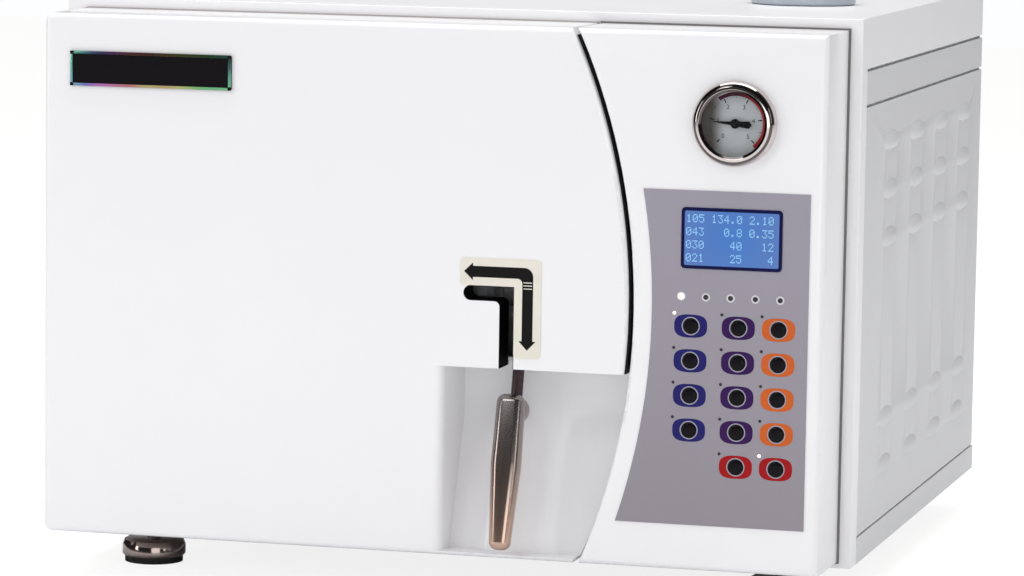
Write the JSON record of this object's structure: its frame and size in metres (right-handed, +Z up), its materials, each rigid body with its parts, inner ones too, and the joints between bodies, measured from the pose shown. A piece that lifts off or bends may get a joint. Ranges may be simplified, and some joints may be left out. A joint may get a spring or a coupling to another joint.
{
  "type": "benchtop steam autoclave",
  "caption": "Benchtop steam autoclave: side-hinged moulded door with a lifting lever latch, curved-edge keypad panel with display and gauge, louvred steel cabinet on levelling feet.",
  "frame": {"origin": "centre of the whole object's footprint box, on the bench under the feet", "axes": "+X to the right seen from the front, +Y from the door to the back, +Z up"},
  "size_m": [0.609, 0.6398, 0.445],
  "materials": {
    "cover_paint": "satin",
    "side_paint": "satin",
    "zinc_steel": "galvanised",
    "door_moulding": "gloss",
    "overlay": "printed sheet",
    "display": "gloss",
    "lamp": "clear",
    "board": "solder mask",
    "bezel_chrome": "polished",
    "dial": "matt",
    "gauge_glass": "clear",
    "needle": "matt",
    "stainless": "brushed",
    "heater": "heat stained",
    "lagging": "woven",
    "tray_alu": "anodised",
    "tank_plastic": "moulded",
    "cap_plastic": "satin",
    "pump_iron": "painted",
    "black_plastic": "moulded",
    "brass": "turned",
    "gasket": "silicone",
    "name_plate": "gloss",
    "guide_label": "printed",
    "lever_steel": "satin",
    "grip_metal": "satin bronze",
    "foot_metal": "polished",
    "key_plastic": "gloss"
  },
  "bodies": {
    "cabinet": {"base_tray": "side_paint", "chassis": "zinc_steel", "front_frame": "cover_paint", "top_cover": "cover_paint", "side_rails": "side_paint", "side_panel_left": "side_paint", "side_panel_right": "side_paint", "rear_panel": "side_paint", "cover_screws": "zinc_steel", "control_fascia": "door_moulding", "keypad_overlay": "overlay", "lcd_window": "display", "indicator_lenses": "lamp", "control_board": "board", "gauge_case": "bezel_chrome", "gauge_dial": "dial", "gauge_glass": "gauge_glass", "chamber": "stainless", "chamber_saddles": "zinc_steel", "band_heater": "heater", "chamber_lagging": "lagging", "tray_rack": "stainless", "trays": "tray_alu", "water_tank": "tank_plastic", "vacuum_pump": "pump_iron", "latch_keeper": "stainless", "hinge_bracket": "zinc_steel", "power_inlet": "black_plastic", "safety_valve": "brass", "drain_spigot": "brass"},
    "door": {"door_shell": "door_moulding", "door_liner": "zinc_steel", "door_beam": "zinc_steel", "pressure_plate": "stainless", "door_gasket": "gasket", "door_plate": "name_plate", "lever_guide": "guide_label"},
    "latch": {"latch_swivel": "zinc_steel"},
    "lever": {"lever_shank": "lever_steel", "lever_grip": "grip_metal"},
    "gauge_hand": {"gauge_needle": "needle"},
    "cap": {"filler_cap": "cap_plastic"},
    "foot_front_left_body": {"foot_front_left": "foot_metal"},
    "foot_front_right_body": {"foot_front_right": "foot_metal"},
    "foot_rear_left_body": {"foot_rear_left": "foot_metal"},
    "foot_rear_right_body": {"foot_rear_right": "foot_metal"},
    "key_1_body": {"key_1": "key_plastic"},
    "key_2_body": {"key_2": "key_plastic"},
    "key_3_body": {"key_3": "key_plastic"},
    "key_4_body": {"key_4": "key_plastic"},
    "key_5_body": {"key_5": "key_plastic"},
    "key_6_body": {"key_6": "key_plastic"},
    "key_7_body": {"key_7": "key_plastic"},
    "key_8_body": {"key_8": "key_plastic"},
    "key_9_body": {"key_9": "key_plastic"},
    "key_10_body": {"key_10": "key_plastic"},
    "key_11_body": {"key_11": "key_plastic"},
    "key_12_body": {"key_12": "key_plastic"},
    "key_13_body": {"key_13": "key_plastic"},
    "key_14_body": {"key_14": "key_plastic"}
  },
  "joints": [
    {"name": "door_swing", "type": "hinge", "parent": "cabinet", "child": "door", "pos_m": [-0.283, -0.25609, 0.229], "axis": [0, 0, -1], "range_deg": [0, 110]},
    {"name": "latch_swing", "type": "hinge", "parent": "door", "child": "latch", "pos_m": [0.062, -0.24109, 0.229], "axis": [0, 0, -1], "range_deg": [0, 23]},
    {"name": "lever_lift", "type": "hinge", "parent": "latch", "child": "lever", "pos_m": [0.062, -0.25509, 0.229], "axis": [-1, 0, 0], "range_deg": [0, 76]},
    {"name": "needle_turn", "type": "hinge", "parent": "cabinet", "child": "gauge_hand", "pos_m": [0.2265, -0.30209, 0.357], "axis": [0, 1, 0], "range_deg": [-45, 225], "stiffness_Nm_per_rad": 0.002},
    {"name": "cap_turn", "type": "hinge", "parent": "cabinet", "child": "cap", "pos_m": [0.216, -0.02909, 0.429], "axis": [0, 0, 1], "range_deg": [0, 90]},
    {"name": "foot_front_left_turn", "type": "hinge", "parent": "cabinet", "child": "foot_front_left_body", "pos_m": [-0.244, -0.19509, 0.032], "axis": [0, 0, 1], "continuous": true},
    {"name": "foot_front_right_turn", "type": "hinge", "parent": "cabinet", "child": "foot_front_right_body", "pos_m": [0.244, -0.19509, 0.032], "axis": [0, 0, 1], "continuous": true},
    {"name": "foot_rear_left_turn", "type": "hinge", "parent": "cabinet", "child": "foot_rear_left_body", "pos_m": [-0.244, 0.24491, 0.032], "axis": [0, 0, 1], "continuous": true},
    {"name": "foot_rear_right_turn", "type": "hinge", "parent": "cabinet", "child": "foot_rear_right_body", "pos_m": [0.244, 0.24491, 0.032], "axis": [0, 0, 1], "continuous": true},
    {"name": "key_1_press", "type": "slide", "parent": "cabinet", "child": "key_1_body", "axis": [0, 1, 0], "range_m": [0, 0.0012], "stiffness_N_per_m": 900},
    {"name": "key_2_press", "type": "slide", "parent": "cabinet", "child": "key_2_body", "axis": [0, 1, 0], "range_m": [0, 0.0012], "stiffness_N_per_m": 900},
    {"name": "key_3_press", "type": "slide", "parent": "cabinet", "child": "key_3_body", "axis": [0, 1, 0], "range_m": [0, 0.0012], "stiffness_N_per_m": 900},
    {"name": "key_4_press", "type": "slide", "parent": "cabinet", "child": "key_4_body", "axis": [0, 1, 0], "range_m": [0, 0.0012], "stiffness_N_per_m": 900},
    {"name": "key_5_press", "type": "slide", "parent": "cabinet", "child": "key_5_body", "axis": [0, 1, 0], "range_m": [0, 0.0012], "stiffness_N_per_m": 900},
    {"name": "key_6_press", "type": "slide", "parent": "cabinet", "child": "key_6_body", "axis": [0, 1, 0], "range_m": [0, 0.0012], "stiffness_N_per_m": 900},
    {"name": "key_7_press", "type": "slide", "parent": "cabinet", "child": "key_7_body", "axis": [0, 1, 0], "range_m": [0, 0.0012], "stiffness_N_per_m": 900},
    {"name": "key_8_press", "type": "slide", "parent": "cabinet", "child": "key_8_body", "axis": [0, 1, 0], "range_m": [0, 0.0012], "stiffness_N_per_m": 900},
    {"name": "key_9_press", "type": "slide", "parent": "cabinet", "child": "key_9_body", "axis": [0, 1, 0], "range_m": [0, 0.0012], "stiffness_N_per_m": 900},
    {"name": "key_10_press", "type": "slide", "parent": "cabinet", "child": "key_10_body", "axis": [0, 1, 0], "range_m": [0, 0.0012], "stiffness_N_per_m": 900},
    {"name": "key_11_press", "type": "slide", "parent": "cabinet", "child": "key_11_body", "axis": [0, 1, 0], "range_m": [0, 0.0012], "stiffness_N_per_m": 900},
    {"name": "key_12_press", "type": "slide", "parent": "cabinet", "child": "key_12_body", "axis": [0, 1, 0], "range_m": [0, 0.0012], "stiffness_N_per_m": 900},
    {"name": "key_13_press", "type": "slide", "parent": "cabinet", "child": "key_13_body", "axis": [0, 1, 0], "range_m": [0, 0.0012], "stiffness_N_per_m": 900},
    {"name": "key_14_press", "type": "slide", "parent": "cabinet", "child": "key_14_body", "axis": [0, 1, 0], "range_m": [0, 0.0012], "stiffness_N_per_m": 900}
  ]
}
